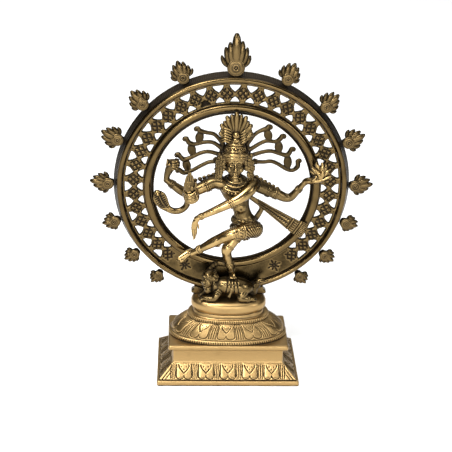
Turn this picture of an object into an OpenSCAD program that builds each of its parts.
// Dancing figure in a ring of flames on a lotus pedestal, cast in brass.
// Origin: centre of the plinth's foot. +Z up, the front faces -Y, +X to the viewer's right.
// Left and right in the names are the figure's own.

/* [Pedestal] */
// Width of the plinth's foot
foot_w = 124.8; // [118:0.2:132]
// Depth of the plinth's foot
foot_d = 74.5; // [70:0.5:78]
// Thickness of the foot
foot_h = 5; // [3:0.5:7]
// Half size of the neck across its width
neck_x = 48.5; // [46:0.5:50]
// Half size of the neck across its depth
neck_y = 23.5; // [21:0.5:25]
// Width of the slab on the neck
slab_w = 105.5; // [102:0.5:110]
// Depth of the slab on the neck
slab_d = 55; // [50:0.5:60]
// Top of the slab, where the lotus sits
slab_top = 35; // [34:0.5:37]
// Half width of the lotus at its lower rim
lotus_x = 52.4; // [48:0.2:53]
// Half depth of the lotus at its lower rim
lotus_y = 26.8; // [24:0.2:27]
// Half width of the oval pad
pad_x = 33; // [31:0.5:34]
// Half depth of the oval pad
pad_y = 18.8; // [17:0.2:20]
// Top of the oval pad, where the dwarf and the ring stand
pad_top = 72; // [71:0.5:73]

/* [Ring] */
// Height of the ring's centre
ring_z = 173.4; // [173:0.1:175]
// Radius of the ring's milled flange, its widest edge
flange_r = 99.6; // [99:0.1:100]
// Radius of the crest of the outer bead
outer_bead_r = 94.3; // [93:0.1:95]
// Radius of the crest of the inner bead
inner_bead_r = 71.4; // [70:0.1:72]
// Radius of the ring's inner lip
lip_r = 65.5; // [65:0.1:66]
// Thickness of both beads
bead_d = 5; // [4:0.1:5.4]
// Number of cells in the fretwork round the whole ring
cells = 40; // [30:2:50]
// Half angle of the solid web at the bottom of the fretwork
web_half = 36; // [30:1:40]

/* [Flames] */
// Radius of the ring at which the flame bosses are centred
boss_r = 103; // [102:0.1:104]
// Height of the top flame above its boss
top_flame_h = 28.2; // [26:0.2:32]
// Diameter of the top flame's boss
top_boss_d = 14.5; // [12:0.5:16]
// Diameter of the other bosses
boss_d = 10.5; // [9:0.5:12]

/* [Fasteners] */
// Diameter of the tie bolt
bolt_d = 6; // [5:0.5:8]
// Clearance of the tie bolt in its holes, on the diameter
bolt_clear = 0.6; // [0.4:0.1:1]
// Diameter of the ring's screws
screw_d = 3; // [2.5:0.5:4]

/* [Hidden] */
$fn = 64;

satin = [0.83, 0.64, 0.36];
bronze = [0.55, 0.42, 0.20];
gold = [0.78, 0.60, 0.26];
dark = [0.42, 0.32, 0.16];
steel = [0.62, 0.63, 0.65];

flare_h = 10.5;                     // height of the petalled flare above the foot
slab_h = 4.5;                       // thickness of the slab
wall = 4;                           // wall of the hollow plinth
lotus_h = 21;                       // height of the lotus, rim to rim
lotus_top = slab_top + lotus_h;
bolt_r = bolt_d / 2;
hole_r = bolt_r + bolt_clear / 2;
washer_h = 1.6;
seat_z = slab_top - slab_h - 1;     // underside of the plinth's top, where the washer sits
screw_x = 20;                       // the ring's screws stand this far from the middle
screw_y = 5;                        // and this far back
screw_depth = 5;                    // they reach this far into the pad
bolt_end = 5;                       // the tie bolt ends this far under the pad's top
through = 1;                        // how far a cut runs past the face it opens
ring_back = 8;                      // y of the back of the flange
plate_front = 1;                    // y of the front of the fretwork plate
plate_back = 4;                     // y of its back
plate_inner = inner_bead_r + bead_d / 2 + 0.3;
plate_outer = outer_bead_r - bead_d / 2 - 0.3;
head_x = 1.3;                       // middle of the head, a little to the viewer's right
head_y = -6;

// Angles of the flames on one side of the ring, from the top
side_flames = [23.9, 46, 66.5, 88.6, 108.2, 127.6, 143.6];
// Height of each of those flames above its boss
side_heights = [14.6, 14.4, 15.2, 15.2, 11, 10.5, 10];
// Half width of each of those flames
side_spread = [9.2, 9.2, 9.2, 8.8, 7.6, 7, 6.5];

// ---- curves and tubes -------------------------------------------------------------

function unit(v) = v / norm(v);
function pick(p, i) = p[max(0, min(len(p) - 1, i))];
function blend(a, b, c, d, t) =
  0.5 * (2 * b + (c - a) * t + (2 * a - 5 * b + 4 * c - d) * t * t
         + (3 * b - a - 3 * c + d) * t * t * t);
// A smooth line through the rows of p, with s steps between two rows
function smooth(p, s) = concat(
  [for (i = [0:len(p) - 2], k = [0:s - 1])
     blend(pick(p, i - 1), p[i], p[i + 1], pick(p, i + 2), k / s)],
  [p[len(p) - 1]]);
function place(q) = [q[0], q[1], q[2]];
function heading(p, i) = unit(place(pick(p, i + 1)) - place(pick(p, i - 1)));
// Closed side wall and ends of a stack of m rings with n points each
function skin(m, n) = concat(
  [for (i = [0:m - 2], k = [0:n - 1], h = [0, 1])
     let (a = i * n + k, b = i * n + (k + 1) % n)
       h == 0 ? [a, b, a + n] : [b, b + n, a + n]],
  [[for (k = [n - 1:-1:0]) k], [for (k = [0:n - 1]) (m - 1) * n + k]]);

// A body swept along rows [x, y, z, r, q]: r is its half size across, q its half depth in y
module body_along(rows, n = 10, s = 3) {
  p = smooth(rows, s);
  points = [for (i = [0:len(p) - 1], k = [0:n - 1])
    let (t = heading(p, i), u = unit(cross(t, [0, 1, 0])), v = cross(u, t), a = 360 * k / n)
      place(p[i]) + p[i][3] * cos(a) * u + p[i][4] * sin(a) * v];
  polyhedron(points, skin(len(p), n));
}

// A round limb along rows [x, y, z, r]
module limb(rows, n = 10, s = 3) {
  body_along([for (q = rows) [q[0], q[1], q[2], q[3], q[3]]], n, s);
}

// An upright body of superellipse sections: rows [z, half width, half depth], all centred
module oval_stack(rows, power = 2.3, n = 48) {
  points = [for (q = rows, k = [0:n - 1])
    let (a = 360 * k / n, c = cos(a), s = sin(a))
      [q[1] * sign(c) * pow(abs(c), 2 / power), q[2] * sign(s) * pow(abs(s), 2 / power), q[0]]];
  polyhedron(points, skin(len(rows), n));
}

// A row of n beads of radius r from a to b
module beads(a, b, n, r) {
  limb([for (i = [0:4 * n]) concat(a + (b - a) * i / (4 * n), r * (0.5 + 0.5 * abs(sin(45 * i))))], 8, 1);
}

module rounded_slab(w, d, h, r) {
  linear_extrude(h) {
    square([w - 2 * r, d], center = true);
    square([w, d - 2 * r], center = true);
    for (x = [-1, 1], y = [-1, 1])
      translate([x * (w / 2 - r), y * (d / 2 - r)]) circle(r);
  }
}

// A rectangular frustum between two half sizes [x, y]
module frustum(low, high, h) {
  points = concat(
    [for (c = [[-1, -1], [1, -1], [1, 1], [-1, 1]]) [c[0] * low[0], c[1] * low[1], 0]],
    [for (c = [[-1, -1], [1, -1], [1, 1], [-1, 1]]) [c[0] * high[0], c[1] * high[1], h]]);
  polyhedron(points, [[0, 1, 2, 3], [7, 6, 5, 4], [0, 4, 5, 1], [1, 5, 6, 2],
                      [2, 6, 7, 3], [3, 7, 4, 0]]);
}

// ---- pedestal ---------------------------------------------------------------------

module plinth() {
  foot_wall = 6;
  color(satin) difference() {
    union() {
      rounded_slab(foot_w, foot_d, foot_h, 1.5);
      translate([0, 0, foot_h])
        frustum([foot_w / 2 - 2.4, foot_d / 2 - 2], [neck_x + 1.5, neck_y + 1.5], flare_h);
      translate([-neck_x, -neck_y, 0]) cube([2 * neck_x, 2 * neck_y, slab_top - 1]);
      translate([0, 0, slab_top - slab_h]) rounded_slab(slab_w, slab_d, slab_h, 2);
    }
    translate([0, 0, -through]) frustum([foot_w / 2 - foot_wall, foot_d / 2 - foot_wall],
                                        [neck_x - wall, neck_y - wall], foot_h + flare_h);
    translate([-neck_x + wall, -neck_y + wall, foot_h])
      cube([2 * (neck_x - wall), 2 * (neck_y - wall), seat_z - foot_h]);
    cylinder(h = slab_top + through, r = hole_r);
  }
}

module lotus_pedestal() {
  rim = 3.4;
  color(satin) difference() {
    translate([0, 0, slab_top]) oval_stack([
      [0, lotus_x - 0.8, lotus_y - 0.8], [0.8, lotus_x, lotus_y], [rim - 0.8, lotus_x, lotus_y],
      [rim, lotus_x - 0.8, lotus_y - 0.8], [rim + 0.6, lotus_x - 2.4, lotus_y - 2],
      [8, lotus_x - 4.6, lotus_y - 3], [12, lotus_x - 8.6, lotus_y - 4.2],
      [15.5, lotus_x - 13.5, lotus_y - 6], [17.2, lotus_x - 17.4, lotus_y - 7.8],
      [17.6, pad_x + 2.3, pad_y + 0.4], [18.2, pad_x + 2.9, pad_y + 1],
      [lotus_h - 0.8, pad_x + 2.9, pad_y + 1], [lotus_h, pad_x + 2.2, pad_y + 0.3]]);
    translate([0, 0, slab_top - through]) cylinder(h = lotus_h + 2 * through, r = hole_r);
  }
}

module oval_pad() {
  neck_h = 4;
  h = pad_top - lotus_top;
  color(satin) difference() {
    translate([0, 0, lotus_top]) oval_stack([
      [0, pad_x - 0.5, pad_y - 0.5], [1, pad_x - 1.6, pad_y - 1.6], [neck_h - 0.5, pad_x - 1.8, pad_y - 1.8],
      [neck_h, pad_x - 2.6, pad_y - 2.6], [neck_h + 0.6, pad_x - 1.8, pad_y - 1.4],
      [neck_h + 3, pad_x - 0.4, pad_y - 0.3], [neck_h + 6.5, pad_x, pad_y],
      [h - 3, pad_x - 0.6, pad_y - 0.5], [h - 1, pad_x - 2.2, pad_y - 1.8], [h, pad_x - 5, pad_y - 4]]);
    translate([0, 0, lotus_top - through]) cylinder(h = h - bolt_end + 2 * through, r = bolt_r);
    for (x = [-screw_x, screw_x]) translate([x, screw_y, pad_top - screw_depth - through])
      cylinder(h = screw_depth + 2 * through, r = screw_d / 2);
  }
}

module tie_bolt() {
  head_h = 4;
  head_r = 5.5;
  foot_z = seat_z - washer_h;
  color(steel) union() {
    translate([0, 0, foot_z]) cylinder(h = pad_top - bolt_end - foot_z, r = bolt_r);
    translate([0, 0, foot_z - head_h]) cylinder(h = head_h, r = head_r, $fn = 6);
  }
}

module tie_washer() {
  washer_r = 8;
  color(steel) translate([0, 0, seat_z - washer_h]) difference() {
    cylinder(h = washer_h, r = washer_r);
    translate([0, 0, -through]) cylinder(h = washer_h + 2 * through, r = hole_r);
  }
}

module ring_screws() {
  screw_h = 9;
  color(steel) for (x = [-screw_x, screw_x])
    translate([x, screw_y, pad_top - screw_depth]) cylinder(h = screw_h, r = screw_d / 2);
}

// ---- ring of flames ---------------------------------------------------------------

// Turns a profile of [radius, distance forward] about the ring's centre
module ring_lathe() {
  translate([0, 0, ring_z]) rotate([90, 0, 0]) rotate_extrude($fn = 128) children();
}

module ring_outer_hoop() {
  color(bronze) ring_lathe() union() {
    translate([outer_bead_r, 0]) circle(d = bead_d, $fn = 32);
    polygon([[plate_outer, 0], [plate_outer, -plate_back], [outer_bead_r, -ring_back],
             [flange_r, -ring_back], [flange_r, -ring_back + 1], [outer_bead_r + bead_d / 2 + 0.3, 0]]);
  }
}

module ring_inner_hoop() {
  bead = [for (a = [-10:10:190]) [inner_bead_r + bead_d / 2 * cos(a), bead_d / 2 * sin(a)]];
  color(bronze) ring_lathe()
    polygon(concat(bead, [[lip_r + 3, -0.6], [lip_r + 1.6, 1], [lip_r, 1], [lip_r, -1],
                          [lip_r + 1.5, -plate_back], [plate_inner, -plate_back], [plate_inner, -0.6]]));
}

// One hole of the fretwork: flat at radius r, domed towards radius tip
module fret_hole(r, tip, base) {
  polygon([for (a = [0:22.5:180]) [base / 2 * cos(a), r + (tip - r) * sin(a)]]);
}

module ring_fretwork() {
  step = 360 / cells;
  color(bronze) translate([0, plate_back, ring_z]) rotate([90, 0, 0])
    linear_extrude(plate_back - plate_front) difference() {
      circle(plate_outer, $fn = 128);
      circle(plate_inner, $fn = 128);
      for (a = [0:step:360 - step]) if (abs(a - 180) > web_half)
        rotate(-a) {
          fret_hole(plate_outer - 0.6, plate_outer - 6.6, 8.9);
          fret_hole(plate_inner + 1, plate_inner + 5.9, 7.5);
        }
    }
}

module ring_foot() {
  half = 31;
  front = 1;
  foot_top = 11;
  screw_gap = 0.1;
  color(bronze) difference() {
    translate([-half, front, pad_top]) cube([2 * half, ring_back, foot_top]);
    translate([0, front + ring_back + through, ring_z]) rotate([90, 0, 0])
      cylinder(h = ring_back + 2 * through, r = flange_r, $fn = 128);
    for (x = [-screw_x, screw_x]) translate([x, screw_y, pad_top - through])
      cylinder(h = foot_top + 2 * through, r = screw_d / 2 + screw_gap);
  }
}

function flame_angle(i) = i == 1 ? 0 : i <= 8 ? side_flames[i - 2] : -side_flames[i - 9];
function flame_height(i) = i == 1 ? top_flame_h : side_heights[(i - 2) % 7];
function flame_half(i) = i == 1 ? 13 : side_spread[(i - 2) % 7];
function flame_boss(i) = i == 1 ? top_boss_d : (i - 2) % 7 > 4 ? boss_d - 2 : boss_d;

// Seven pointed tongues fanned over a round boss
module flame(i) {
  h = flame_height(i);
  w = flame_half(i);
  d = flame_boss(i);
  lean = [[0, 1], [0.34, 0.8], [0.66, 0.6], [1, 0.36]];
  color(gold) translate([0, 0, ring_z]) rotate([0, flame_angle(i), 0]) translate([0, 0, boss_r + 1.2]) {
    rotate([90, 0, 0]) translate([0, 0, -6]) linear_extrude(4) union() {
      circle(d = d * 0.9);
      for (side = [-1, 1], t = lean) if (side > 0 || t[0] > 0) {
        tip = [side * t[0] * w, t[1] * h];
        root = [side * t[0] * d * 0.2, 0];
        across = [tip[1], -tip[0]] / norm(tip) * w * 0.17;
        belly = root + (tip - root) * 0.55;
        polygon([root - across, belly - across, tip, belly + across, root + across]);
      }
    }
    rotate([90, 0, 0]) translate([0, 0, -2]) cylinder(h = 3.4, d = d);
  }
}

// ---- dwarf ------------------------------------------------------------------------

module dwarf_body() {
  color(dark) body_along([[-13, -7, 85, 3, 4], [-9, -7, 85.5, 6, 6.4], [-2, -7.4, 85.5, 7.4, 7.2],
    [5, -7.4, 85.2, 7.8, 7.4], [12, -7, 83.6, 7.4, 7], [17, -6.5, 82, 5.4, 5.6], [19.5, -6, 81, 3, 4]], 16);
}

module dwarf_head() {
  color(dark) union() {
    translate([-18.8, -11, 88.8]) sphere(6.2, $fn = 32);
    body_along([[-19, -6, 83, 3, 3], [-18, -6, 90, 6, 5.4], [-16, -5.4, 96, 6.4, 5], [-13, -5, 100, 4.4, 3.6],
                [-10.6, -4.8, 102, 1.5, 1.5]], 12);
  }
}

module dwarf_arms() {
  color(dark) union() {
    limb([[-8, -9, 83, 2.8], [-11, -13, 78.4, 3], [-14, -14, 75.4, 2.9], [-21, -12.6, 75.2, 2.2],
          [-23.5, -11.6, 75, 1.2]], 10);
    limb([[-12.6, -6, 83, 2.6], [-20, -5, 79.4, 2.6], [-24, -5.4, 75.2, 2.2], [-25.5, -7, 74, 1.4]], 10);
  }
}

module dwarf_legs() {
  color(dark) union() {
    limb([[13, -8, 82, 4.2], [11, -12, 79, 4.2], [10, -13.6, 76, 3.6], [15.4, -13, 74.6, 2.8],
          [19, -12.4, 74.2, 1.8]], 10);
    limb([[16, -4, 79, 3.4], [21, -5, 77, 3], [22.4, -6, 82, 2.6], [24.8, -7, 87, 2.6],
          [27.6, -7.5, 88.6, 2], [29, -8, 87.6, 1]], 10);
  }
}

// ---- dancer -----------------------------------------------------------------------

module torso() {
  color(gold) body_along([[10.4, -2, 146.5, 8.6, 6], [8.5, -2, 154.7, 6.8, 5.4],
    [6, -2.5, 163, 9, 6.4], [3.8, -3, 171, 12, 7.2], [2.8, -3, 178, 14.5, 6.8],
    [2.6, -3, 182, 12, 5.8], [2.2, -3.6, 185.4, 5.4, 4.6], [1.8, -4.4, 190.5, 4, 4]], 20);
}

module loincloth() {
  color(gold) body_along([[11, -3, 131.5, 7, 5], [11.3, -3, 134, 10.8, 6.6], [11.3, -2.6, 138.5, 12.8, 7.4],
    [11, -2.2, 143, 11.4, 7], [10.4, -2, 146.5, 9.2, 6.6]], 20);
}

module standing_leg() {
  color(gold) union() {
    limb([[7.4, -3, 137, 5.6], [3, -6, 129, 5.2], [-3.2, -8, 121.4, 4.8], [-2.8, -6.6, 114, 4.2],
          [-0.4, -4.4, 104, 3.3], [1.2, -3, 96.5, 2.7]]);
    body_along([[1.2, 0.2, 96.4, 1.8, 2.2], [1.3, -3, 96, 2.6, 2.6], [2.4, -8, 94.6, 2.8, 1.4],
                [3.4, -12.5, 94, 2.4, 1]], 10);
  }
}

module raised_leg() {
  color(gold) union() {
    limb([[19.6, -5, 138, 7], [14, -11, 140, 6.2], [5.2, -16, 140.5, 4.9], [-4, -15.5, 136.5, 4.9],
          [-14, -14.5, 130.5, 4.3], [-24, -13, 124, 3.3], [-33, -12, 118.6, 2.7]]);
    limb([[-40.5, -8.6, 117.4, 1.4], [-38.6, -10, 116.4, 3], [-37, -13, 113.4, 2.9], [-36.4, -17, 110, 2.6],
          [-36.2, -19, 108.6, 1.2]]);
  }
}

module head() {
  color(gold) limb([for (q = [[-8.4, 186.6, 2.2], [-8, 188.6, 5], [-7, 193, 7.6], [-6.4, 199, 8.8],
    [-6, 205, 8.6], [-5.6, 209, 7]]) [head_x, q[0], q[1], q[2]]], 20);
}

module crown_band() {
  color(gold) translate([head_x, head_y, 0]) union() {
    translate([0, 0, 203.6]) cylinder(h = 6, r = 10);
    for (z = [204.6, 208.4]) translate([0, 0, z]) rotate_extrude() translate([10, 0]) circle(1, $fn = 24);
    translate([0, 0, 209.6]) cylinder(h = 4.6, r1 = 9, r2 = 7.2);
    translate([0, 0, 214.2]) cylinder(h = 2, r = 8);
  }
}

module crown_fan() {
  feather = 27;
  half = 3.1;
  color(gold) translate([1.5, -4, 216.2]) rotate([90, 0, 0]) {
    linear_extrude(4) for (a = [-3:3]) rotate(-a * 15) let (l = feather - abs(a) * 2.6)
      polygon([[-half * 0.6, 0], [-half, l * 0.45], [-half * 0.8, l * 0.8], [0, l],
               [half * 0.8, l * 0.8], [half, l * 0.45], [half * 0.6, 0]]);
    translate([0, 7, 4]) sphere(3, $fn = 32);
  }
}

// Curls that hang beside the face, on the side given by dir
module earring(dir) {
  color(gold) beads([head_x + dir * 10.2, -5.4, 203.5], [head_x + dir * 11.2, -5.6, 187.6], 5, 2.4);
}

// Flying locks, each a line of [x, z], held apart by leaves, with a flower and a lock at the root
module hair_fan(strands, leaves, flower, root) {
  lock_r = 1.35;
  leaf_tip = 0.8;
  leaf_r = 2.3;
  color(bronze) union() {
    for (line = strands) limb([for (q = line) [q[0], 0, q[1], lock_r]], 6, 2);
    for (ends = leaves) let (mid = (ends[0] + ends[1]) / 2)
      limb([[ends[0][0], 0, ends[0][1], leaf_tip], [mid[0], 0, mid[1], leaf_r],
            [ends[1][0], 0, ends[1][1], leaf_tip]], 6);
    translate([flower[0], -0.6, flower[1]]) sphere(3, $fn = 24);
    limb(root, 6);
  }
}

module hair_fan_right() {
  hair_fan([[[-8.6, 213], [-13, 218.6], [-16.8, 221.8], [-22.5, 222.9], [-28, 224.4], [-29.6, 227]],
            [[-9, 208.6], [-16.6, 214.1], [-24, 214.5], [-31.3, 212.7], [-36.6, 213.8], [-38.9, 218.6]],
            [[-9, 203], [-19.6, 206.1], [-27, 204.9], [-33.8, 201.4], [-41, 199], [-45.6, 205]],
            [[-9, 198], [-19.5, 197], [-26.8, 193.5], [-33.6, 189.4], [-40.5, 187.2], [-45, 191]]],
           [[[-27.4, 223.6], [-29, 213.4]], [[-35.6, 213.2], [-33, 201.8]], [[-39.6, 199.2], [-37, 188.4]]],
           [-14, 199.6], [[-8.4, 0.4, 215, 1.4], [-9.6, 0.4, 206, 1.8], [-9.4, 0.4, 197, 1.6]]);
}

module hair_fan_left() {
  hair_fan([[[11, 213], [14.2, 217.6], [16.6, 221.2], [20.7, 224.5], [26.3, 226.9], [28.6, 230]],
            [[11.6, 207], [21.1, 213.6], [27.4, 216.3], [34.3, 215.8], [38.3, 218.4], [40, 222]],
            [[11.6, 202], [23, 206.1], [30.9, 207.4], [38.4, 205.2], [44.9, 204.2], [48.4, 211.4]],
            [[11.6, 198], [24.5, 197.6], [31.4, 198.3], [37.3, 196.1], [44.5, 191.6],
             [50, 190.5], [54, 194.1], [53.4, 200]]],
           [[[26.6, 226], [29.8, 216.6]], [[36.8, 216.2], [38, 205.6]], [[45, 203.8], [46, 191.6]]],
           [18, 198.4], [[11, 0.4, 215, 1.4], [12.2, 0.4, 206, 1.8], [12, 0.4, 197, 1.6]]);
}

// Three rings round the neck, each [radius, height, forward tilt]
module necklace() {
  color(gold) for (c = [[5.6, 185.6, 10], [8, 183.4, 22], [10.6, 180.6, 30]])
    translate([2.2, -3.6, c[1]]) rotate([c[2], 0, 0])
      rotate_extrude() translate([c[0], 0]) circle(0.9, $fn = 16);
}

module shoulder_curls_right() {
  color(gold) beads([-12, 1, 187], [-31, 1, 181.4], 5, 2.4);
}

module shoulder_curls_left() {
  color(gold) beads([20, 1, 184.4], [38.4, 1, 173], 5, 2.4);
}

module front_right_arm() {
  color(gold) limb([[-11, -3, 179.6, 5.6], [-15.5, -3, 180, 5.6], [-22, -4.5, 177.4, 5.4],
    [-30.4, -6, 173.4, 4.8], [-34.4, -8.6, 169.6, 4.6], [-35.4, -12, 172, 4], [-36, -14.6, 177, 3.2]]);
}

module front_right_hand() {
  color(gold) body_along([[-36, -14.6, 177, 3, 2.4], [-36.2, -16, 181.4, 4.3, 2], [-35.9, -17, 187, 4, 1.7],
    [-35.6, -18, 194, 1.8, 0.9]]);
}

module back_right_arm() {
  color(gold) limb([[-11, 0, 179.6, 4.8], [-15.4, 0.4, 179, 5], [-26, 1.4, 173.5, 4.8], [-37, 2, 168.8, 4.6],
    [-46, 2, 172.4, 4], [-55.1, 2, 179.6, 2.7]]);
}

module back_right_hand() {
  color(gold) body_along([[-55.1, 2, 179.6, 2.6, 2.4], [-54.8, 2, 183.6, 2.6, 2.3],
    [-53.2, 2, 187.8, 3.2, 2.6], [-51.3, 1.5, 192.6, 4.2, 3], [-49.6, 1, 198.2, 3, 2.4]]);
}

// Hourglass drum, lying across the fingers
module hand_drum() {
  len = 9;
  color(gold) translate([-50 - len / 2, -3.4, 196.4]) rotate([0, 90, 0]) rotate_extrude()
    polygon([[0, 0], [3.2, 0], [3.2, 1], [1.3, len / 2], [3.2, len - 1], [3.2, len], [0, len]]);
}

module front_left_arm() {
  color(gold) limb([[17, -4, 179, 5.6], [14, -9, 176.4, 5.4], [7, -13.6, 171.6, 4.8], [-0.4, -16, 167.8, 3.9],
    [-15, -16.5, 160.2, 3.2], [-29.8, -16, 152.6, 2.2]]);
}

module front_left_hand() {
  color(gold) union() {
    body_along([[-29.8, -16, 152.6, 2.2, 2], [-31.2, -16, 148, 2.5, 1.8], [-31.6, -15.6, 143.4, 2.3, 1.5],
      [-31.9, -15, 138, 1.6, 1.2], [-31.8, -15, 133, 0.7, 0.7]]);
    limb([[-30.6, -15.6, 148, 1.2], [-28.6, -14.6, 145.2, 1.1], [-27.6, -14, 142.6, 0.7]], 8);
  }
}

module back_left_arm() {
  color(gold) limb([[18, 0, 177.4, 5.2], [22, 0, 175.6, 5.2], [30, 0, 172, 5], [38.2, 0, 168.6, 4.6],
    [45, 0, 165.6, 3.8], [49.6, -0.4, 165.6, 3.4], [54, -2, 172, 3], [59.6, -4, 180.5, 2.3]]);
}

module back_left_hand() {
  color(gold) body_along([[59.6, -4, 180.5, 2.2, 2.2], [62.4, -4.8, 183.6, 3, 2.2], [66, -6, 186, 4.4, 2.3],
    [71, -7, 187.4, 4.4, 2.2], [75.4, -7, 188.6, 2.6, 1.6]]);
}

module hand_flame() {
  color(gold) body_along([[69.6, -7, 190, 3.6, 2.2], [70.4, -7, 194, 4.8, 2.4], [73, -7, 197.4, 3.2, 1.8],
    [77.6, -7, 200.4, 0.7, 0.7]]);
}

module cobra() {
  color(gold) body_along([[-37.6, -6.6, 168, 1.8, 1.8], [-37.3, -5, 164.3, 2.6, 2.6],
    [-38.4, -4.6, 159, 2.7, 2.7], [-42.6, -4.6, 155, 2.7, 2.7], [-48.4, -5, 154.4, 2.8, 2.7],
    [-53.8, -6, 157, 3, 2.4], [-57.8, -6.2, 161.6, 4.4, 1.9], [-60.8, -6.4, 166.4, 4.9, 1.7],
    [-62.6, -6.6, 170.4, 4, 1.7], [-64, -7, 173.6, 2, 1.4]], 12);
}

module sash() {
  color(gold) union() {
    body_along([[15, 2, 165.4, 1.8, 1.2], [25.8, 2, 158, 2.6, 1.1], [34.6, 1, 152, 3.6, 1.1],
      [46, -1.4, 145.5, 5.4, 1.1], [56, -3.6, 140, 7, 1], [62.4, -4, 136.6, 7.4, 1]], 8, 2);
    limb([[23.6, 2.4, 159, 1.6], [25.6, 2.4, 154.4, 2.2], [23.4, 2, 149, 2.6], [20, 1.4, 144, 2.8]], 8, 2);
  }
}

plinth();
lotus_pedestal();
oval_pad();
tie_bolt();
tie_washer();
ring_screws();
ring_outer_hoop();
ring_inner_hoop();
ring_fretwork();
ring_foot();
for (i = [1:15]) flame(i);
dwarf_body();
dwarf_head();
dwarf_arms();
dwarf_legs();
torso();
loincloth();
standing_leg();
raised_leg();
head();
crown_band();
crown_fan();
earring(1);  // earring_left
earring(-1);  // earring_right
hair_fan_left();
hair_fan_right();
necklace();
shoulder_curls_left();
shoulder_curls_right();
front_right_arm();
front_right_hand();
back_right_arm();
back_right_hand();
hand_drum();
front_left_arm();
front_left_hand();
back_left_arm();
back_left_hand();
hand_flame();
cobra();
sash();
